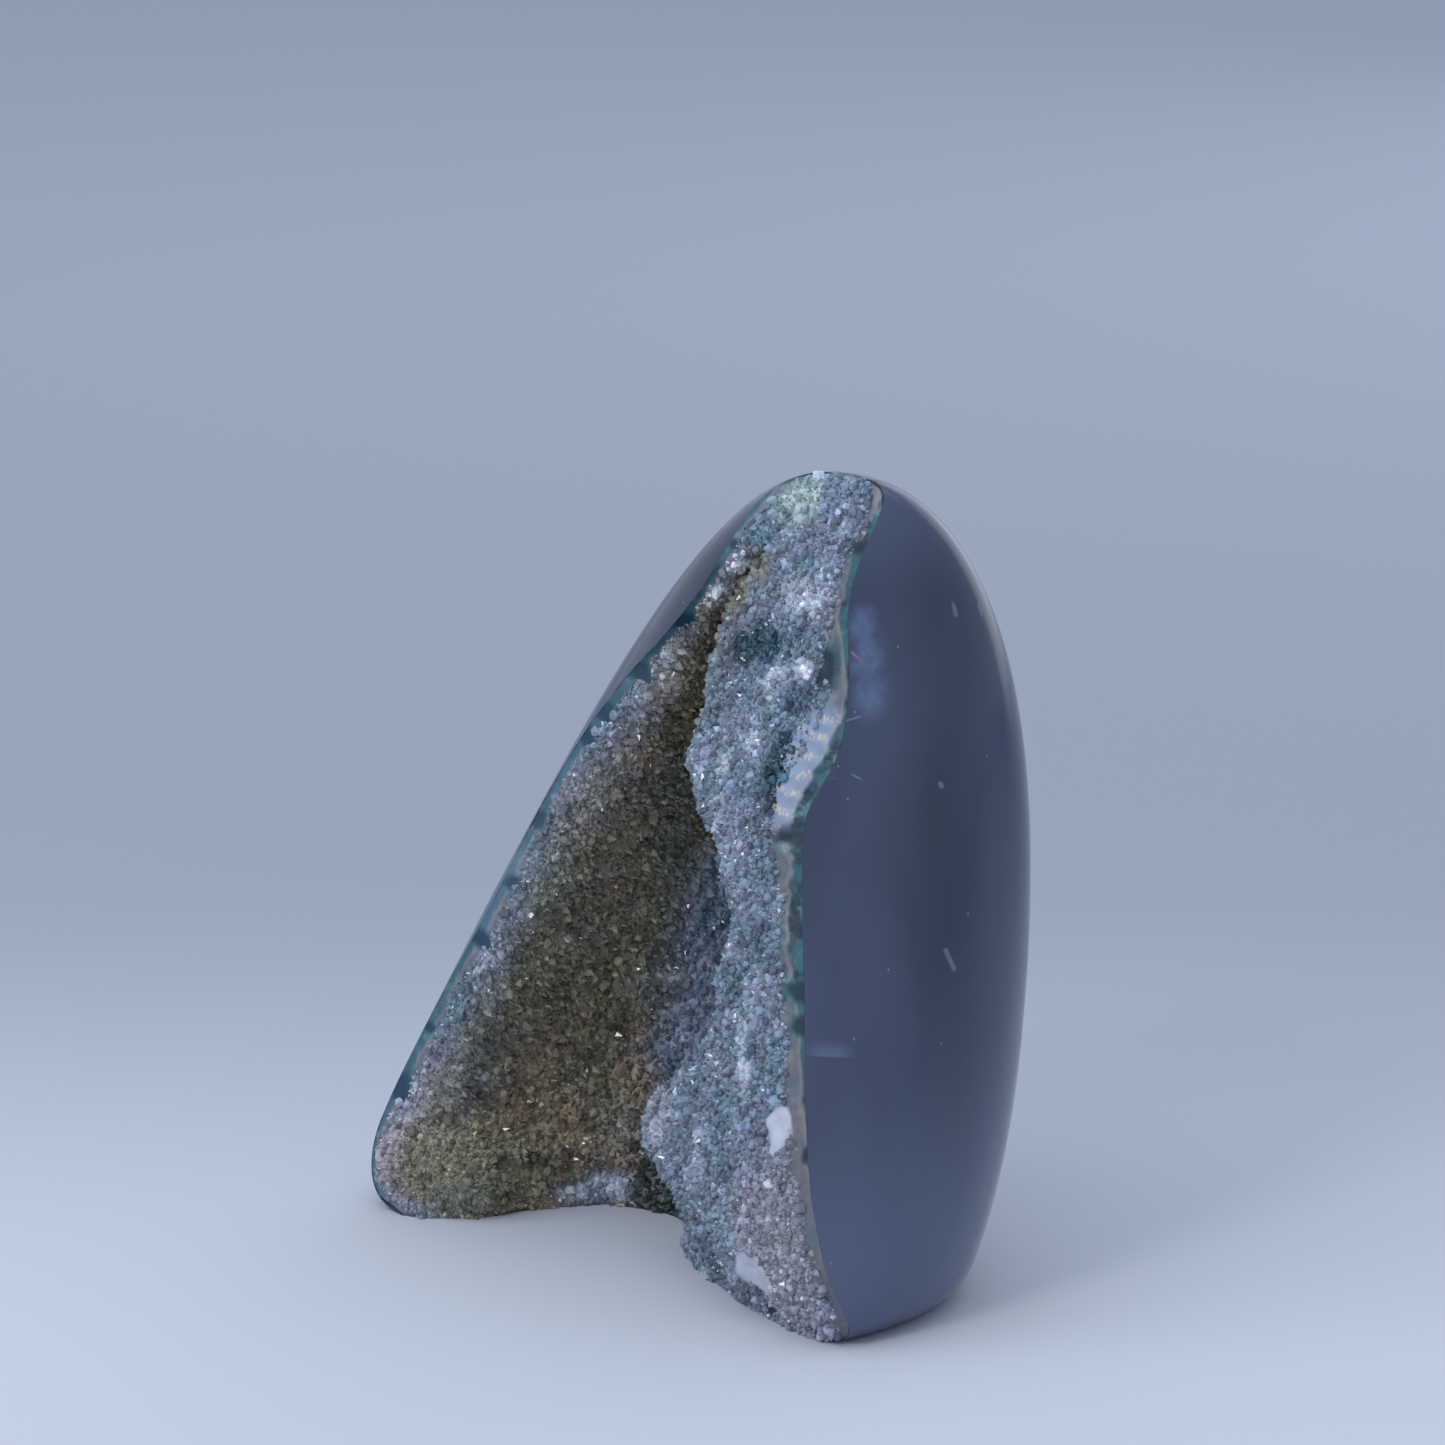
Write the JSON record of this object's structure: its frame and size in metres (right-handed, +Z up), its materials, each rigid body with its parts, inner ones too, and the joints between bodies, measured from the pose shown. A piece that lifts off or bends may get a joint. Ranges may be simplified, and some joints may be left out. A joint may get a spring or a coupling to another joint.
{
  "type": "druzy geode",
  "caption": "Free-standing polished agate geode, open on one side, its arch-shaped hollow lined with small quartz crystals.",
  "frame": {"origin": "middle of the flat resting base, at the centre of the part's box", "axes": "+Z up, towards the top of the dome; -Y out of the open side; +X towards the broad upright leg"},
  "size_m": [0.0636, 0.0334, 0.0722],
  "materials": {
    "polished_agate": "polished, glossy, slightly translucent slate blue",
    "druzy_quartz": "sparkling crust of small clear to grey quartz crystals over an olive-brown ground"
  },
  "bodies": {
    "root": {"agate_shell": "polished_agate", "druzy_crust": "druzy_quartz"}
  },
  "joints": []
}
